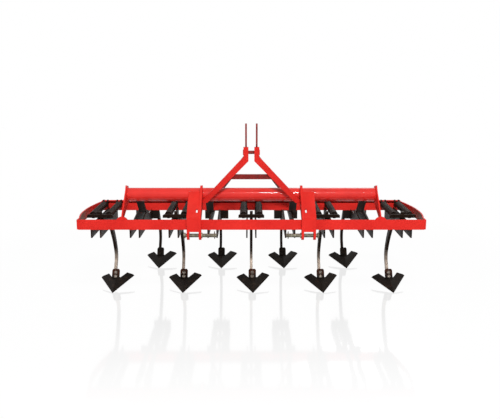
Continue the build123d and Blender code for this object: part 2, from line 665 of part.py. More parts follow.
def wing_pair():
    """The two wings about their heel, turned and rolled, with the nose on the ground."""
    nose = Vector(0, -WING_HEEL[1], nose_rise)
    with BuildPart() as wings:
        for side in (-1, 1):
            normal = (-side * wing_slope_x, -wing_slope_y, 1.0)
            wing = Plane(origin=nose, x_dir=(0, 1, wing_slope_y), z_dir=normal)
            flat = [wing.to_local_coords(nose + Vector(side * u, v, wing_slope_x * u + wing_slope_y * v))
                    for u, v in WING_OUTLINE]
            with BuildSketch(wing):
                with BuildLine():
                    Polyline(*[(point.X, point.Y) for point in flat], close=True)
                make_face()
            extrude(amount=-SWEEP_THICK)
    turned = wings.part.moved(Location((0, 0, 0), (0, -WING_ROLL_ANGLE, WING_TURN_ANGLE)))
    return turned.moved(Location((0, 0, -turned.bounding_box().min.Z)))


wings_on_ground = wing_pair()


def sweep(x, row_y):
    heel_y = Y_SHIFT + row_y + SWEEP_NOSE_Y + WING_HEEL[1]
    neck_y = heel_y - WING_HEEL[1] + NECK_START_Y
    neck_z = nose_rise + wing_slope_y * NECK_START_Y
    neck = Plane(origin=(x, neck_y, neck_z), x_dir=(1, 0, 0), z_dir=(0, -NECK_RISE, NECK_RUN))
    with BuildPart() as blade:
        add(wings_on_ground.moved(Location((x + WING_SIDE_STEP, heel_y, 0))))
        with BuildSketch(neck):
            Rectangle(2 * NECK_HALF, math.hypot(NECK_RUN, NECK_RISE), align=(Align.CENTER, Align.MIN))
        extrude(amount=-SWEEP_THICK)
    return blade


named = [
    ("front_beam", front_beam), ("rear_beam", rear_beam), ("side_bar_left", side_bar_left),
    ("side_bar_right", side_bar_right), ("top_pipe", top_pipe), ("pipe_end_plates", pipe_end_plates),
    ("hitch_bracket_left", hitch_bracket_left), ("hitch_bracket_right", hitch_bracket_right),
    ("hitch_pin_left", hitch_pin_left), ("hitch_pin_right", hitch_pin_right),
    ("mast_leg_left", mast_leg_left), ("mast_leg_right", mast_leg_right), ("mast_stays", mast_stays),
    ("mast_cross_bar", mast_cross_bar), ("top_link_plates", top_link_plates), ("mast_bolt", mast_bolt),
    ("pipe_struts", pipe_struts), ("front_row_cheeks", front_row_cheeks),
    ("carrier_cheeks", carrier_cheeks), ("rear_row_cheeks", rear_row_cheeks),
    ("rear_gussets", rear_gussets), ("pivot_bolts", pivot_bolts), ("tine_stops", tine_stops),
    ("spring_anchors", spring_anchors), ("springs_front", springs_front), ("springs_rear", springs_rear)]

for number, (x, row_y) in enumerate(all_stations(), start=1):
    named.append(("tine_" + str(number), tine(x, row_y)))
    named.append(("sweep_" + str(number), sweep(x, row_y)))

for label, piece in named:
    piece.part.label = label
    export_step(piece.part, "parts/" + label + ".step")
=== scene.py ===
import json
import math

import bmesh
import bpy
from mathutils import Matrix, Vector


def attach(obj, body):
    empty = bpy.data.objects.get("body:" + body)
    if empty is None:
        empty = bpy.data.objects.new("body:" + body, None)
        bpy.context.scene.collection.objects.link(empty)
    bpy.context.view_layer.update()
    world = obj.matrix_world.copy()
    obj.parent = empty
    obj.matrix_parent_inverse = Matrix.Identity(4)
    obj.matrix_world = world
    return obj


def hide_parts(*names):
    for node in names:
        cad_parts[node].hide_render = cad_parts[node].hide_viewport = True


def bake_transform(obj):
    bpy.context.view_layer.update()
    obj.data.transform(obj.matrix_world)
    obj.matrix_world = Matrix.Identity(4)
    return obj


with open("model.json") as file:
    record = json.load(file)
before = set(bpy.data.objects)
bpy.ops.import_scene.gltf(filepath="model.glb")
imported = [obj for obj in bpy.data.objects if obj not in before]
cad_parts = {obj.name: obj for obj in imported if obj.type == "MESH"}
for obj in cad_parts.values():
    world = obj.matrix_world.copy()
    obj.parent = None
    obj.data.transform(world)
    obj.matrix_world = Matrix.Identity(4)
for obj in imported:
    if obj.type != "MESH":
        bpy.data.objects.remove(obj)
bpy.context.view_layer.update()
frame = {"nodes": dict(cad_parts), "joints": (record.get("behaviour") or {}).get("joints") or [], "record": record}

# All lengths are in metres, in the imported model's frame, and angles in degrees.

# Camera: seen from the hitch end, a little from above. It stands ahead of the front beam's face.
IMAGE_WIDTH = 500
SENSOR_WIDTH = 36.0
FOCAL_PIXELS = 661.0
CAMERA_SIDE = -0.008
CAMERA_AHEAD = 3.739
CAMERA_HEIGHT = 1.436
CAMERA_PITCH = 12.15

# What the studio's sky gives as light; the camera and mirrors see it white
WORLD_STRENGTH = 0.24

# Floor: its mirror image of the machine dies away towards the camera, and its shadow dies away
# from the middle outwards
FLOOR_REACH = 12.0
FLOOR_GREY = 0.80
MIRROR_REACH = 1.7
MIRROR_FADE = 0.75
MIRROR_SHARE = 0.18
MIRROR_BLUR = 0.07
SHADOW_REACH_SQUARED = 7.0
SHADOW_FADE = 0.3
SHADOW_SHARE = 0.04

# Lamps: name, place, target, width, height (none for a disk), power
LAMPS = (
    ("key_lamp", (0.5, -4.4, 4.0), (0, 0, 0.5), 0.9, None, 222.0),
    ("side_lamp", (-4.0, -2.2, 3.0), (0, 0, 0.5), 2.5, None, 42.0),
    ("back_lamp", (1.5, 4.0, 3.5), (0, 0, 0.5), 2.5, None, 45.0),
    ("strip_lamp", (0.9, -4.4, 4.0), (0, -0.35, 0.68), 2.4, 0.07, 26.0),
)

# Stations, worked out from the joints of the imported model, each as (body, X, Y of its beam's face).
# The front row's are within the row's depth of the front beam's face.
PIVOT_SETBACK = 0.200
STATIONS = [(joint["child"], joint["pos_m"][0], joint["pos_m"][1] - PIVOT_SETBACK)
            for joint in frame["joints"]]
FRONT_FACE = min(y for body, x, y in STATIONS)
ROW_DEPTH = 0.1

# The front row of tines is worn bright at the foot, and stands ahead of this line
ROW_LINE = 0.09
ROW_LINE_GAIN = 200.0
BARE_FOOT_HEIGHT = 0.155
BARE_FOOT_GAIN = 11.0

# Paint and rust
PAINT_IOR = 1.3
PIPE_COAT = 0.35
COAT_ROUGHNESS = 0.05
BUMP_HEIGHT = 0.001
BEVEL_SAMPLES = 4
RUSTY_NECK_HEIGHT = 0.068

# Olive stain inside the front corners: how far out and how far ahead of the origin it starts, where
# it ends, how fast it fades, and which way its faces look
STAIN_OUT = 0.985
STAIN_FRONT = 0.535
STAIN_REAR = -0.16
STAIN_GAIN = 60.0
STAIN_FADE = 5.0
STAIN_FACING = -4.0

# Hitch and pipe, with setbacks from the front beam's face
HITCH_PIN_SETBACK = -0.008
HITCH_PIN_Z = 0.478
LINCH_PIN_X = 0.214
LINCH_PIN_DROP = 0.020
LINCH_PIN_PROFILE = ((0.0, 0.0018), (0.003, 0.0028), (0.042, 0.0028), (0.045, 0.0020))
LINCH_PIN_SIDES = 10
LINCH_RING_RISE = 0.002
LINCH_RING_RADIUS = 0.0165
LINCH_RING_WIRE = 0.0016
LINCH_RING_LEAN = 0.1
LINCH_RING_STEPS = 28
LINCH_RING_SIDES = 8
PIPE_SETBACK = 0.200
PIPE_Z = 0.6815
PIPE_RADIUS = 0.0405
PIPE_HALF = 0.748
EAR_CENTRES = (0.298, 0.367)
EAR_HALF = 0.007
EAR_WELD_SPAN = (140.0, 220.0)
EAR_WELD_RADIUS = 0.0032
EAR_WELD_STEPS = 18
PIPE_WELD_RADIUS = 0.0034
PIPE_WELD_STEPS = 72
WELD_RIPPLE = 0.18
WELD_SIDES = 7
MAST_BOLT_PLACE = (0.105, 0.950)
MAST_BOLT_SEAT = 0.036
MAST_NUT_ACROSS = 0.0305
MAST_NUT_HEIGHT = 0.0135

# Raised top edge of the rear beam, with its section as (Y from the beam's face, Z)
REAR_BEAM_SETBACK = 0.540
REAR_BEAM_HALF = 0.982
REAR_EDGE_SECTION = ((0.0, 0.560), (0.0, 0.5765), (0.0012, 0.578), (0.0068, 0.578),
                     (0.008, 0.5765), (0.008, 0.560))
REAR_EDGE_STEPS = 24

# Carrier plates of the rear row between the beams, whose top edge falls away on both sides of
# the struts. The outline is (Y from the front beam's face, Z).
CARRIER_SPREAD = 0.0265
CARRIER_HALF = 0.004
CARRIER_OUTLINE = ((0.030, 0.453), (0.540, 0.453), (0.540, 0.514), (0.404, 0.514), (0.352, 0.555),
                   (0.045, 0.514), (0.045, 0.510), (0.030, 0.510))

# Sweeps: square on their tines and a little to one side. The wing's corners are (out, back) from
# the nose, and its upper face starts from the inset ones.
SWEEP_SETBACK = 0.348
SWEEP_STEP = 0.0118
NECK_STEP = 0.007
WING_OUTLINE = ((0.0, 0.0), (0.111, 0.194), (0.062, 0.206), (0.027, 0.150), (0.0, 0.150))
WING_INSET = ((0.0, 0.0161), (0.1025, 0.1961), (0.062, 0.206), (0.027, 0.150), (0.0, 0.150))
WING_THICK = 0.007
WING_EDGE = 0.0025
WING_SLOPE_BACK = 0.383
WING_SLOPE_OUT = -0.219
WING_TILT = 0.061
NECK_OUTLINE = ((-0.025, 0.0), (0.025, 0.0), (0.025, 0.052), (0.019, 0.062),
                (-0.019, 0.062), (-0.025, 0.052))
NECK_START = (0.138, 0.0593)
NECK_LEAN = 58.0
SWEEP_BOLT_RISES = (0.011, 0.038)
SWEEP_BOLT_PROFILE = ((0.0, 0.0120), (0.002, 0.0116), (0.0048, 0.0086), (0.0062, 0.0034))
SWEEP_BOLT_SIDES = 16

# Springs, with the lugs that hold their rear ends as (Y from the station, Z)
SPRING_OFFSET = 0.048
SPRING_Z = 0.557
COIL_RADIUS = 0.0190
WIRE_RADIUS = 0.0034
COIL_START = 0.172
COIL_END = 0.505
COIL_TURNS = 46
COIL_STEPS = 14
COIL_TAPER = 30.0
COIL_NECK_SHARE = 0.2
WIRE_SIDES = 7
HOOK_PIN_RADIUS = 0.0045
HOOK_STEPS = 7
HOOK_SPAN = (200.0, -60.0)
HOOK_TAIL_DROP = 0.0002
HOOK_TAIL_LENGTH = 0.002
COIL_NOSE_STEPS = (0.004, 0.010)
HOOK_BOLT_RADIUS = 0.0042
HOOK_BOLT_OVERLAP = 0.002
BOLT_SIDES = 12
CROSSHEAD_FRONT = 0.150
CROSSHEAD_BACK = 0.160
LUG_PIN_SETBACK = 0.012
FRONT_LUGS = (0.514, 0.557)
REAR_LUGS = (0.512, 0.538)

# Nuts on the crossheads
WASHER_RADIUS = 0.0092
WASHER_THICK = 0.0018
WASHER_SIDES = 20
NUT_ACROSS = 0.0145
NUT_HEIGHT = 0.006
BOLT_END_LENGTH = 0.005


class Reading:
    """One output socket of a finish, which takes part in shader sums."""

    def __init__(self, finish, socket):
        self.finish = finish
        self.socket = socket

    def __add__(self, other):
        return self.finish.maths("ADD", self, other)

    def __radd__(self, other):
        return self.finish.maths("ADD", other, self)

    def __sub__(self, other):
        return self.finish.maths("SUBTRACT", self, other)

    def __rsub__(self, other):
        return self.finish.maths("SUBTRACT", other, self)

    def __mul__(self, other):
        return self.finish.maths("MULTIPLY", self, other)

    def __rmul__(self, other):
        return self.finish.maths("MULTIPLY", other, self)


class Finish:
    """A material or world and the nodes that make it."""

    def __init__(self, owner):
        owner.use_nodes = True
        self.owner = owner
        self.tree = owner.node_tree
        self.tree.nodes.clear()

    def node(self, kind, settings, sockets, output=0):
        made = self.tree.nodes.new(kind)
        for key, value in settings.items():
            if key == "stops":
                self.set_stops(made.color_ramp, value)
            else:
                setattr(made, key, value)
        for key, value in sockets.items():
            if isinstance(value, Reading):
                self.tree.links.new(value.socket, made.inputs[key])
            else:
                made.inputs[key].default_value = value
        return Reading(self, made.outputs[output]) if made.outputs else None

    def set_stops(self, ramp, stops):
        while len(ramp.elements) < len(stops):
            ramp.elements.new(0.5)
        for element, (place, value) in zip(ramp.elements, stops):
            element.position = place
            element.color = (value, value, value, 1.0)

    def maths(self, operation, first, second):
        return self.node("ShaderNodeMath", {"operation": operation}, {0: first, 1: second})

    def clamp(self, value):
        return self.node("ShaderNodeClamp", {}, {"Value": value})

    def place(self):
        return self.node("ShaderNodeTexCoord", {}, {}, "Object")

    def axis_of(self, vector, axis):
        return self.node("ShaderNodeSeparateXYZ", {}, {"Vector": vector}, axis)

    def noise(self, scale, detail=3.0, roughness=0.55, stretch=(1.0, 1.0, 1.0)):
        spread = self.node("ShaderNodeMapping", {}, {"Vector": self.place(), "Scale": stretch})
        return self.node("ShaderNodeTexNoise", {}, {"Vector": spread, "Scale": scale, "Detail": detail,
                                                    "Roughness": roughness}, "Fac")

    def patches(self, scale, detail, low, high, floor=0.0):
        """Noise turned into patches: floor below the low mark, 1 above the high one."""
        return self.ramp(self.noise(scale, detail), (low, floor), (high, 1.0))

    def ramp(self, value, *stops):
        return self.node("ShaderNodeValToRGB", {"stops": stops}, {"Fac": value})

    def mix(self, share, first, second):
        return self.node("ShaderNodeMix", {"data_type": "RGBA"}, {0: share, 6: first, 7: second}, 2)

    def facing(self, axis):
        return self.axis_of(self.node("ShaderNodeNewGeometry", {}, {}, "Normal"), axis)

    def rounded_edge(self, radius):
        return self.node("ShaderNodeBevel", {"samples": BEVEL_SAMPLES}, {"Radius": radius})

    def edge_mask(self, radius, gain):
        normal = self.node("ShaderNodeNewGeometry", {}, {}, "Normal")
        along = self.node("ShaderNodeVectorMath", {"operation": "DOT_PRODUCT"},
                          {0: self.rounded_edge(radius), 1: normal}, "Value")
        return self.clamp((1.0 - along) * gain)

    def worn_edge(self, radius, gain, scale, low, high):
        """How far an edge is rubbed bare, broken up by noise."""
        return self.edge_mask(radius, gain) * self.patches(scale, 5.0, low, high)

    def bumps(self, strength, scale, detail, edge_radius):
        """A normal with fine bumps on softened edges."""
        return self.node("ShaderNodeBump", {}, {"Strength": strength, "Distance": BUMP_HEIGHT,
                                                "Height": self.noise(scale, detail),
                                                "Normal": self.rounded_edge(edge_radius)})

    def seen_or_mirrored(self):
        """1 on rays from the camera, in mirrors and through glass, 0 on rays that light things."""
        rays = [self.node("ShaderNodeLightPath", {}, {}, name)
                for name in ("Is Camera Ray", "Is Glossy Ray", "Is Transmission Ray")]
        return self.clamp(rays[0] + rays[1] + rays[2])

    def blend_shaders(self, share, first, second):
        return self.node("ShaderNodeMixShader", {}, {0: share, 1: first, 2: second})

    def surface(self, sockets):
        shader = self.node("ShaderNodeBsdfPrincipled", {}, sockets)
        self.node("ShaderNodeOutputMaterial", {}, {"Surface": shader})
        return self.owner


def new_finish(name):
    return Finish(bpy.data.materials.new(name))


def colour(red, green, blue):
    return (red, green, blue, 1.0)


def red_enamel(name, coat):
    finish = new_finish(name)
    cloudy = finish.patches(7.0, 3.0, 0.35, 0.7)
    base = finish.mix(cloudy, colour(0.61, 0.019, 0.0145), colour(0.70, 0.026, 0.019))
    dust = finish.clamp(finish.facing("Z") * 0.5) * finish.patches(22.0, 3.0, 0.4, 0.65, 0.2)
    base = finish.mix(dust * 0.16, base, colour(0.74, 0.13, 0.09))
    edge = finish.worn_edge(0.0018, 5.0, 60.0, 0.48, 0.62)
    base = finish.mix(edge * 0.75, base, colour(0.16, 0.030, 0.020))
    chips = finish.ramp(finish.noise(95.0, 4.0, 0.6), (0.70, 0.0), (0.74, 1.0))
    base = finish.mix(chips * 0.8, base, colour(0.20, 0.028, 0.018))
    base = finish.mix(olive_corner(finish) * 0.9, base, colour(0.130, 0.048, 0.016))
    return finish.surface({"Base Color": base,
                           "Roughness": 0.34 + 0.16 * finish.noise(30.0) + dust * 0.18,
                           "Normal": finish.bumps(0.10, 240.0, 2.0, 0.0014),
                           "Specular IOR Level": 0.2, "IOR": PAINT_IOR,
                           "Coat Weight": coat, "Coat Roughness": COAT_ROUGHNESS})


def olive_corner(finish):
    """Where the side bars leave the front beam, the paint has an olive stain on the inside."""
    side = finish.axis_of(finish.place(), "X")
    across = finish.maths("ABSOLUTE", side, 0.0)
    along = finish.axis_of(finish.place(), "Y")
    outer_end = finish.clamp((across - STAIN_OUT) * STAIN_GAIN)
    behind_beam = finish.clamp((along + STAIN_FRONT) * STAIN_GAIN)
    near_end = finish.clamp((STAIN_REAR - along) * STAIN_FADE)
    inside = finish.clamp(finish.facing("X") * side * STAIN_FACING)
    return outer_end * behind_beam * near_end * inside * finish.patches(24.0, 5.0, 0.25, 0.5, 0.5)


# Red enamel with shade painted into its colour: a darker copy of the red for parts that stand in shadow
def shaded_red_enamel():
    finish = new_finish("shaded_red_enamel")
    base = finish.mix(finish.noise(16.0), colour(0.16, 0.011, 0.009), colour(0.27, 0.016, 0.012))
    grime = finish.patches(34.0, 5.0, 0.45, 0.7)
    base = finish.mix(grime * 0.5, base, colour(0.055, 0.016, 0.012))
    edge = finish.worn_edge(0.0018, 5.0, 60.0, 0.48, 0.62)
    base = finish.mix(edge * 0.6, base, colour(0.30, 0.035, 0.024))
    return finish.surface({"Base Color": base, "Roughness": 0.42 + 0.2 * finish.noise(30.0),
                           "Normal": finish.bumps(0.12, 220.0, 3.0, 0.0014),
                           "Specular IOR Level": 0.2})


def black_enamel():
    finish = new_finish("black_enamel")
    base = finish.mix(finish.noise(11.0), colour(0.007, 0.0055, 0.0045), colour(0.018, 0.012, 0.009))
    dust = finish.clamp(finish.facing("Z")) * finish.patches(26.0, 3.0, 0.42, 0.7)
    base = finish.mix(dust * 0.35, base, colour(0.050, 0.036, 0.028))
    rust = finish.ramp(finish.noise(9.0, 5.0, 0.6), (0.50, 0.0), (0.66, 1.0))
    base = finish.mix(rust * 0.55, base, colour(0.055, 0.020, 0.012))
    edge = finish.worn_edge(0.0018, 5.0, 55.0, 0.45, 0.6)
    base = finish.mix(edge * 0.5, base, colour(0.13, 0.085, 0.06))
    return finish.surface({"Base Color": base,
                           "Roughness": 0.36 + 0.22 * finish.noise(35.0) + dust * 0.12,
                           "Normal": finish.bumps(0.15, 210.0, 3.0, 0.0014),
                           "Specular IOR Level": 0.16, "IOR": PAINT_IOR})


def spring_wire():
    finish = new_finish("spring_wire")
    base = finish.mix(finish.noise(60.0), colour(0.007, 0.0045, 0.0035), colour(0.026, 0.013, 0.009))
    worn = finish.patches(140.0, 4.0, 0.62, 0.74)
    base = finish.mix(worn * 0.5, base, colour(0.095, 0.045, 0.030))
    return finish.surface({"Base Color": base, "Roughness": 0.34 + 0.2 * finish.noise(80.0),
                           "Specular IOR Level": 0.12, "IOR": PAINT_IOR})


def bolt_steel():
    finish = new_finish("bolt_steel")
    base = finish.mix(finish.noise(90.0, 4.0), colour(0.16, 0.13, 0.10), colour(0.42, 0.38, 0.33))
    grime = finish.patches(45.0, 4.0, 0.45, 0.65)
    base = finish.mix(grime * 0.6, base, colour(0.10, 0.055, 0.035))
    return finish.surface({"Base Color": base, "Roughness": 0.38 + grime * 0.3,
                           "Metallic": 0.8 - grime * 0.6,
                           "Normal": finish.rounded_edge(0.0008), "Specular IOR Level": 0.3})


def pin_steel():
    finish = new_finish("pin_steel")
    turned = finish.noise(300.0, 2.0, 0.5, (1.0, 0.02, 0.02))
    base = finish.mix(turned, colour(0.075, 0.068, 0.045), colour(0.21, 0.19, 0.14))
    grime = finish.patches(30.0, 5.0, 0.46, 0.68)
    base = finish.mix(grime * 0.75, base, colour(0.045, 0.034, 0.022))
    return finish.surface({"Base Color": base, "Roughness": 0.34 + 0.15 * turned + grime * 0.25,
                           "Metallic": 0.6 - grime * 0.5,
                           "Normal": finish.rounded_edge(0.0008), "Specular IOR Level": 0.3})


def front_row_share(finish):
    return finish.clamp((ROW_LINE - finish.axis_of(finish.place(), "Y")) * ROW_LINE_GAIN)


def tine_steel():
    """Black paint, worn to bare steel at the foot of the front row's tines."""
    finish = new_finish("tine_steel")
    height = finish.axis_of(finish.place(), "Z")
    base = finish.mix(finish.noise(14.0), colour(0.008, 0.005, 0.004), colour(0.026, 0.015, 0.010))
    edge = finish.worn_edge(0.0022, 5.0, 50.0, 0.42, 0.6)
    base = finish.mix(edge * 0.5, base, colour(0.12, 0.08, 0.058))
    ragged = (height - BARE_FOOT_HEIGHT) * BARE_FOOT_GAIN + finish.noise(38.0, 5.0) - 0.5
    bare = (1.0 - finish.clamp(ragged)) * front_row_share(finish)
    brushed = finish.noise(70.0, 4.0, 0.6, (1.0, 1.0, 0.3))
    steel = finish.mix(brushed, colour(0.20, 0.145, 0.105), colour(0.60, 0.51, 0.43))
    return finish.surface({"Base Color": finish.mix(bare, base, steel),
                           "Roughness": 0.36 + 0.18 * finish.noise(40.0), "Metallic": bare * 0.4,
                           "Normal": finish.bumps(0.22, 150.0, 4.0, 0.0022),
                           "Specular IOR Level": 0.10, "IOR": PAINT_IOR})


def sweep_steel():
    """Black paint with soil on it, and rust on the necks of the front row's sweeps."""
    finish = new_finish("sweep_steel")
    height = finish.axis_of(finish.place(), "Z")
    base = finish.mix(finish.noise(18.0), colour(0.006, 0.005, 0.004), colour(0.019, 0.013, 0.010))
    soil = finish.ramp(finish.noise(30.0, 6.0, 0.65), (0.52, 0.0), (0.68, 1.0))
    base = finish.mix(soil * 0.45, base, colour(0.060, 0.036, 0.022))
    rust = finish.clamp((height - RUSTY_NECK_HEIGHT) * 40.0) * finish.patches(45.0, 5.0, 0.35, 0.6, 0.3)
    base = finish.mix(rust * front_row_share(finish) * 0.85, base, colour(0.115, 0.040, 0.022))
    edge = finish.worn_edge(0.0016, 6.0, 70.0, 0.5, 0.66)
    base = finish.mix(edge * 0.5, base, colour(0.14, 0.10, 0.08))
    return finish.surface({"Base Color": base,
                           "Roughness": 0.40 + 0.2 * finish.noise(40.0) + rust * 0.2,
                           "Normal": finish.bumps(0.2, 170.0, 4.0, 0.0016),
                           "Specular IOR Level": 0.16, "IOR": PAINT_IOR})


FINISHES = {
    "red_paint": red_enamel("red_enamel", 0.0),
    "black_paint": black_enamel(),
    "spring_steel": spring_wire(),
    "bolt_steel": bolt_steel(),
    "pin_steel": pin_steel(),
    "tine_steel": tine_steel(),
    "sweep_steel": sweep_steel(),
}

# Painted shade: the mast's cross bar, stays and bolt and the top link plates get the darker red copy with shade
# painted in, and the top pipe gets red enamel under a clear coat
SHADED_RED = shaded_red_enamel()
PAINTED_SHADE_AND_COATED_PARTS = {
    "mast_cross_bar": SHADED_RED,
    "mast_stays": SHADED_RED,
    "mast_bolt": SHADED_RED,
    "top_link_plates": SHADED_RED,
    "top_pipe": red_enamel("glossy_red_enamel", PIPE_COAT),
}

for subpart in frame["record"]["subparts"]:
    node_name = subpart["node"]
    for material_slot in frame["nodes"][node_name].material_slots:
        material_slot.material = PAINTED_SHADE_AND_COATED_PARTS.get(node_name, FINISHES[subpart["material_slot"]])


class Shape:
    """Vertices and faces that are gathered into one piece."""

    def __init__(self):
        self.points = []
        self.faces = []

    def rings(self, rings):
        """A closed skin over rings of equally many points, with a face at each end."""
        first = len(self.points)
        sides = len(rings[0])
        for ring in rings:
            self.points.extend(ring)
        for row in range(len(rings) - 1):
            for side in range(sides):
                after = (side + 1) % sides
                low = first + row * sides
                high = low + sides
                self.faces.append((low + side, low + after, high + after, high + side))
        last = first + (len(rings) - 1) * sides
        self.faces.append(tuple(first + side for side in reversed(range(sides))))
        self.faces.append(tuple(last + side for side in range(sides)))

    def piece(self, name, slot_name, body, soft_angle=40.0):
        """One object of all that was gathered, with edges sharper than the soft angle kept."""
        mesh = bpy.data.meshes.new(name)
        mesh.from_pydata([tuple(point) for point in self.points], [], self.faces)
        mesh.validate()
        filled = bmesh.new()
        filled.from_mesh(mesh)
        bmesh.ops.recalc_face_normals(filled, faces=filled.faces)
        filled.to_mesh(mesh)
        filled.free()
        mesh.materials.append(FINISHES[slot_name])
        for face in mesh.polygons:
            face.use_smooth = True
        made = bpy.data.objects.new(name, mesh)
        bpy.context.scene.collection.objects.link(made)
        mesh.set_sharp_from_angle(angle=math.radians(soft_angle))
        if body:
            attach(made, body)
        return made


def square_axes(direction):
    """Two unit vectors square to a direction and to each other."""
    helper = Vector((0, 0, 1)) if abs(direction.z) < 0.9 else Vector((1, 0, 0))
    first = direction.cross(helper).normalized()
    return first, direction.cross(first).normalized()


def round_ring(centre, first, second, radius, sides):
    """Points round a circle, from two unit vectors in its plane."""
    ring = []
    for side in range(sides):
        angle = 2 * math.pi * side / sides
        ring.append(centre + first * (radius * math.cos(angle)) + second * (radius * math.sin(angle)))
    return ring


def ring_at(centre, direction, radius, sides):
    return round_ring(centre, *square_axes(direction), radius, sides)


def add_turning(shape, start, direction, profile, sides):
    """Rings about a line; the profile is a list of (distance along it, radius)."""
    shape.rings([ring_at(start + direction * along, direction, radius, sides) for along, radius in profile])


def add_nut(shape, start, direction, across, height):
    """A hexagon nut or head with a turned chamfer on its outer face."""
    reach = across / math.sqrt(3.0)
    add_turning(shape, start, direction, [(0.0, reach), (height * 0.82, reach), (height, reach * 0.86)], 6)


def add_washer(shape, start, direction, radius, thick):
    add_turning(shape, start, direction,
                [(0.0, radius), (thick * 0.7, radius), (thick, radius * 0.95)], WASHER_SIDES)


def add_bolt_end(shape, start, direction, radius, length):
    add_turning(shape, start, direction,
                [(0.0, radius), (length - radius * 0.3, radius), (length, radius * 0.72)], BOLT_SIDES)


def add_wire(shape, points, radius, sides):
    """A round wire through points, with each ring square to the run there."""
    rings = []
    up = None
    for index, point in enumerate(points):
        before = points[max(index - 1, 0)]
        after = points[min(index + 1, len(points) - 1)]
        run = (after - before).normalized()
        if up is None:
            up = square_axes(run)[0]
        up = (up - run * up.dot(run)).normalized()
        rings.append(round_ring(point, up, run.cross(up), radius, sides))
    shape.rings(rings)


def hook_points(centre):
    """The hook at a spring's rear end, round its pin, from the free tip to the coils' side."""
    reach = HOOK_PIN_RADIUS + WIRE_RADIUS
    turn_from, turn_to = HOOK_SPAN
    points = []
    for step in range(HOOK_STEPS + 1):
        angle = math.radians(turn_from + (turn_to - turn_from) * step / HOOK_STEPS)
        points.append(centre + Vector((0, reach * math.cos(angle), reach * math.sin(angle))))
    return points


def coil_points(x, y, lug_y, lug_z):
    """One spring's wire: round its pin at the rear, through its coils and into its front hook."""
    pin = Vector((x, y + lug_y + LUG_PIN_SETBACK, lug_z))
    slope = (lug_z - SPRING_Z) / (lug_y - CROSSHEAD_BACK)
    points = hook_points(pin)
    points.reverse()
    points = points[1:] + [Vector((x, y + COIL_END + HOOK_TAIL_LENGTH, lug_z - HOOK_TAIL_DROP))]
    steps = COIL_TURNS * COIL_STEPS
    for step in range(steps + 1):
        share = step / steps
        lead = min(1.0, share * COIL_TAPER, (1.0 - share) * COIL_TAPER)
        radius = COIL_RADIUS * (COIL_NECK_SHARE + (1.0 - COIL_NECK_SHARE) * lead)
        angle = 2 * math.pi * COIL_TURNS * share
        along = COIL_END + (COIL_START - COIL_END) * share
        middle = SPRING_Z + slope * (along - CROSSHEAD_BACK)
        points.append(Vector((x + radius * math.cos(angle), y + along, middle + radius * math.sin(angle))))
    for step in COIL_NOSE_STEPS:
        points.append(Vector((x, y + COIL_START - step, SPRING_Z)))
    return points


def in_front_row(y):
    return y - FRONT_FACE < ROW_DEPTH


def build_springs():
    """Two coiled springs to a tine, from the lugs on the frame to the tine's crosshead."""
    backward = Vector((0, 1, 0))
    bolt_reach = COIL_START - CROSSHEAD_BACK + HOOK_BOLT_OVERLAP
    for number, (body, x, y) in enumerate(STATIONS, start=1):
        lug_y, lug_z = FRONT_LUGS if in_front_row(y) else REAR_LUGS
        shape = Shape()
        for side in (-1, 1):
            across = x + side * SPRING_OFFSET
            add_wire(shape, coil_points(across, y, lug_y, lug_z), WIRE_RADIUS, WIRE_SIDES)
            add_turning(shape, Vector((across, y + CROSSHEAD_BACK, SPRING_Z)), backward,
                        [(0.0, HOOK_BOLT_RADIUS), (bolt_reach, HOOK_BOLT_RADIUS)], BOLT_SIDES)
        piece = shape.piece("spring_pair_" + str(number), "spring_steel", None)
        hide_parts("springs_front" if in_front_row(y) else "springs_rear")
        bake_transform(piece)


def build_crosshead_nuts():
    forward = Vector((0, -1, 0))
    for number, (body, x, y) in enumerate(STATIONS, start=1):
        shape = Shape()
        for side in (-1, 1):
            seat = Vector((x + side * SPRING_OFFSET, y + CROSSHEAD_FRONT, SPRING_Z))
            nut_seat = seat + forward * WASHER_THICK
            nut_face = seat + forward * (WASHER_THICK + NUT_HEIGHT)
            add_washer(shape, seat, forward, WASHER_RADIUS, WASHER_THICK)
            add_nut(shape, nut_seat, forward, NUT_ACROSS, NUT_HEIGHT)
            add_bolt_end(shape, nut_face, forward, HOOK_BOLT_RADIUS, BOLT_END_LENGTH)
        shape.piece("crosshead_nuts_" + str(number), "spring_steel", body)


def wing_corner(nose, side, out, back, drop):
    across = side * out
    rise = WING_THICK + WING_SLOPE_OUT * out + WING_SLOPE_BACK * back + WING_TILT * across
    return nose + Vector((across, back, rise - drop))


def add_wing(shape, nose, side):
    """One wing: a plate with its leading edge ground down to a blunt line."""
    levels = ((WING_OUTLINE, WING_THICK), (WING_OUTLINE, WING_THICK - WING_EDGE), (WING_INSET, 0.0))
    shape.rings([[wing_corner(nose, side, out, back, drop) for out, back in outline]
                 for outline, drop in levels])


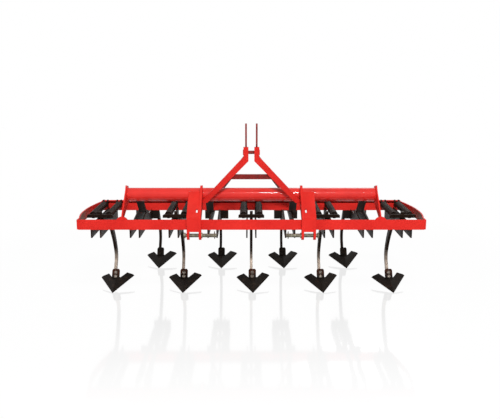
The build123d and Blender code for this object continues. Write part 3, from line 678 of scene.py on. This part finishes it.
def build_sweeps():
    """Duckfoot blades on the tines' feet, each held by two bolts through its neck."""
    lean = math.radians(NECK_LEAN)
    up_neck = Vector((0, math.cos(lean), math.sin(lean)))
    through = Vector((0, math.sin(lean), -math.cos(lean)))
    for number, (body, x, y) in enumerate(STATIONS, start=1):
        shape = Shape()
        nose = Vector((x + SWEEP_STEP, y + SWEEP_SETBACK, 0.0))
        for side in (-1, 1):
            add_wing(shape, nose, side)
        root = Vector((x + NECK_STEP, y + SWEEP_SETBACK + NECK_START[0], NECK_START[1]))
        shape.rings([[root + Vector((across, 0, 0)) + up_neck * rise + through * depth
                      for across, rise in NECK_OUTLINE]
                     for depth in (0.0, WING_THICK)])
        blade = shape.piece("sweep_blade_" + str(number), "sweep_steel", body)
        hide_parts("sweep_" + str(number))
        bolts = Shape()
        for rise in SWEEP_BOLT_RISES:
            add_turning(bolts, root + up_neck * rise, -through, SWEEP_BOLT_PROFILE, SWEEP_BOLT_SIDES)
        bolts.piece("sweep_bolts_" + str(number), "bolt_steel" if in_front_row(y) else "sweep_steel", body)


def add_ring(shape, centre, normal, radius, thick, steps, sides):
    """A round wire bent to a closed ring."""
    points = ring_at(centre, normal, radius, steps)
    add_wire(shape, points + points[:1], thick, sides)


def build_linch_pins():
    for side, name in ((-1, "left"), (1, "right")):
        shape = Shape()
        middle = Vector((side * LINCH_PIN_X, FRONT_FACE + HITCH_PIN_SETBACK, HITCH_PIN_Z))
        add_turning(shape, middle - Vector((0, 0, LINCH_PIN_DROP)), Vector((0, 0, 1)),
                    LINCH_PIN_PROFILE, LINCH_PIN_SIDES)
        add_ring(shape, middle + Vector((0, 0, LINCH_RING_RISE)),
                 Vector((1, 0, LINCH_RING_LEAN)).normalized(),
                 LINCH_RING_RADIUS, LINCH_RING_WIRE, LINCH_RING_STEPS, LINCH_RING_SIDES)
        shape.piece("linch_pin_" + name, "pin_steel", "frame")


def build_mast_nuts():
    shape = Shape()
    setback, height = MAST_BOLT_PLACE
    for side in (-1, 1):
        seat = Vector((side * MAST_BOLT_SEAT, FRONT_FACE + setback, height))
        add_nut(shape, seat, Vector((side, 0, 0)), MAST_NUT_ACROSS, MAST_NUT_HEIGHT)
    shape.piece("mast_bolt_nuts", "red_paint", "frame")


def bead_points(x, start, end, steps):
    """Points round the pipe between two angles, at X along it."""
    points = []
    for step in range(steps + 1):
        angle = math.radians(start + (end - start) * step / steps)
        points.append(Vector((x, FRONT_FACE + PIPE_SETBACK + PIPE_RADIUS * math.cos(angle),
                              PIPE_Z + PIPE_RADIUS * math.sin(angle))))
    return points


def add_bead(shape, points, radius):
    """A weld bead: a wire whose thickness ripples along its run."""
    rings = []
    for index, point in enumerate(points):
        before = points[max(index - 1, 0)]
        after = points[min(index + 1, len(points) - 1)]
        reach = radius * (1.0 + WELD_RIPPLE * (index % 2))
        rings.append(ring_at(point, (after - before).normalized(), reach, WELD_SIDES))
    shape.rings(rings)


def build_pipe_welds():
    shape = Shape()
    for side in (-1, 1):
        add_bead(shape, bead_points(side * PIPE_HALF, 0.0, 360.0, PIPE_WELD_STEPS), PIPE_WELD_RADIUS)
        for centre in EAR_CENTRES:
            for face in (-EAR_HALF, EAR_HALF):
                add_bead(shape, bead_points(side * centre + face, *EAR_WELD_SPAN, EAR_WELD_STEPS),
                         EAR_WELD_RADIUS)
    shape.piece("pipe_welds", "red_paint", "frame")


def build_rear_beam_edge():
    """The rear beam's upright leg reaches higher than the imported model's."""
    shape = Shape()
    rings = []
    for step in range(REAR_EDGE_STEPS + 1):
        x = REAR_BEAM_HALF * (2 * step / REAR_EDGE_STEPS - 1)
        rings.append([Vector((x, FRONT_FACE + REAR_BEAM_SETBACK + y, z)) for y, z in REAR_EDGE_SECTION])
    shape.rings(rings)
    shape.piece("rear_beam_edge", "red_paint", "frame", soft_angle=30.0)


def build_carrier_plates():
    shape = Shape()
    for body, x, y in STATIONS:
        if in_front_row(y):
            continue
        for side in (-1, 1):
            middle = x + side * CARRIER_SPREAD
            shape.rings([[Vector((middle + face, FRONT_FACE + along, z)) for along, z in CARRIER_OUTLINE]
                         for face in (-CARRIER_HALF, CARRIER_HALF)])
    plates = shape.piece("carrier_plates", "black_paint", "frame", soft_angle=30.0)
    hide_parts("carrier_cheeks")


build_springs()
build_rear_beam_edge()
build_carrier_plates()
build_crosshead_nuts()
build_sweeps()
build_linch_pins()
build_mast_nuts()
build_pipe_welds()


def white_floor():
    """White to the camera and in mirrors, with the object's shadow and its mirror image in it."""
    finish = new_finish("white_floor")
    white = colour(1, 1, 1)
    plain = finish.node("ShaderNodeBsdfDiffuse", {}, {"Color": colour(FLOOR_GREY, FLOOR_GREY, FLOOR_GREY)})
    pale = finish.node("ShaderNodeBsdfDiffuse", {}, {"Color": white})
    gloss = finish.node("ShaderNodeBsdfGlossy", {}, {"Color": white, "Roughness": MIRROR_BLUR})
    glow = finish.node("ShaderNodeEmission", {}, {"Color": white, "Strength": 1.0})
    across = finish.axis_of(finish.place(), "X")
    along = finish.axis_of(finish.place(), "Y")
    nearby = finish.clamp((SHADOW_REACH_SQUARED - across * across - along * along) * SHADOW_FADE)
    shaded = finish.blend_shaders(1.0 - nearby * SHADOW_SHARE, pale, glow)
    fade = finish.clamp((along + MIRROR_REACH) * MIRROR_FADE)
    sheen = finish.blend_shaders(1.0 - fade * MIRROR_SHARE, gloss, shaded)
    surface = finish.blend_shaders(finish.seen_or_mirrored(), plain, sheen)
    finish.node("ShaderNodeOutputMaterial", {}, {"Surface": surface})
    return finish.owner


def build_floor():
    mesh = bpy.data.meshes.new("floor")
    corners = [(-FLOOR_REACH, -FLOOR_REACH, 0), (FLOOR_REACH, -FLOOR_REACH, 0),
               (FLOOR_REACH, FLOOR_REACH, 0), (-FLOOR_REACH, FLOOR_REACH, 0)]
    mesh.from_pydata(corners, [], [(0, 1, 2, 3)])
    floor = bpy.data.objects.new("floor", mesh)
    mesh.materials.append(white_floor())
    bpy.context.scene.collection.objects.link(floor)


def build_world():
    """Soft studio light that looks white to the camera and in mirrors."""
    world = bpy.data.worlds.new("studio")
    bpy.context.scene.world = world
    sky = Finish(world)
    white = colour(1, 1, 1)
    light = sky.node("ShaderNodeBackground", {}, {"Color": white, "Strength": WORLD_STRENGTH})
    backdrop = sky.node("ShaderNodeBackground", {}, {"Color": white, "Strength": 1.0})
    surface = sky.blend_shaders(sky.seen_or_mirrored(), light, backdrop)
    sky.node("ShaderNodeOutputWorld", {}, {"Surface": surface})


def build_lamps():
    for name, place, target, width, height, power in LAMPS:
        lamp = bpy.data.lights.new(name, "AREA")
        lamp.shape = "RECTANGLE" if height else "DISK"
        lamp.size = width
        lamp.size_y = height or width
        lamp.energy = power
        holder = bpy.data.objects.new(name, lamp)
        holder.location = place
        aim = Vector(target) - Vector(place)
        holder.rotation_euler = aim.to_track_quat("-Z", "Y").to_euler()
        bpy.context.scene.collection.objects.link(holder)


def build_camera():
    view = bpy.data.cameras.new("camera")
    view.sensor_width = SENSOR_WIDTH
    view.lens = FOCAL_PIXELS / IMAGE_WIDTH * view.sensor_width
    holder = bpy.data.objects.new("camera", view)
    holder.location = (CAMERA_SIDE, FRONT_FACE - CAMERA_AHEAD, CAMERA_HEIGHT)
    holder.rotation_euler = (math.radians(90.0 - CAMERA_PITCH), 0, 0)
    bpy.context.scene.collection.objects.link(holder)
    bpy.context.scene.camera = holder


build_floor()
build_world()
build_lamps()
build_camera()

bpy.context.scene.view_settings.view_transform = "Standard"
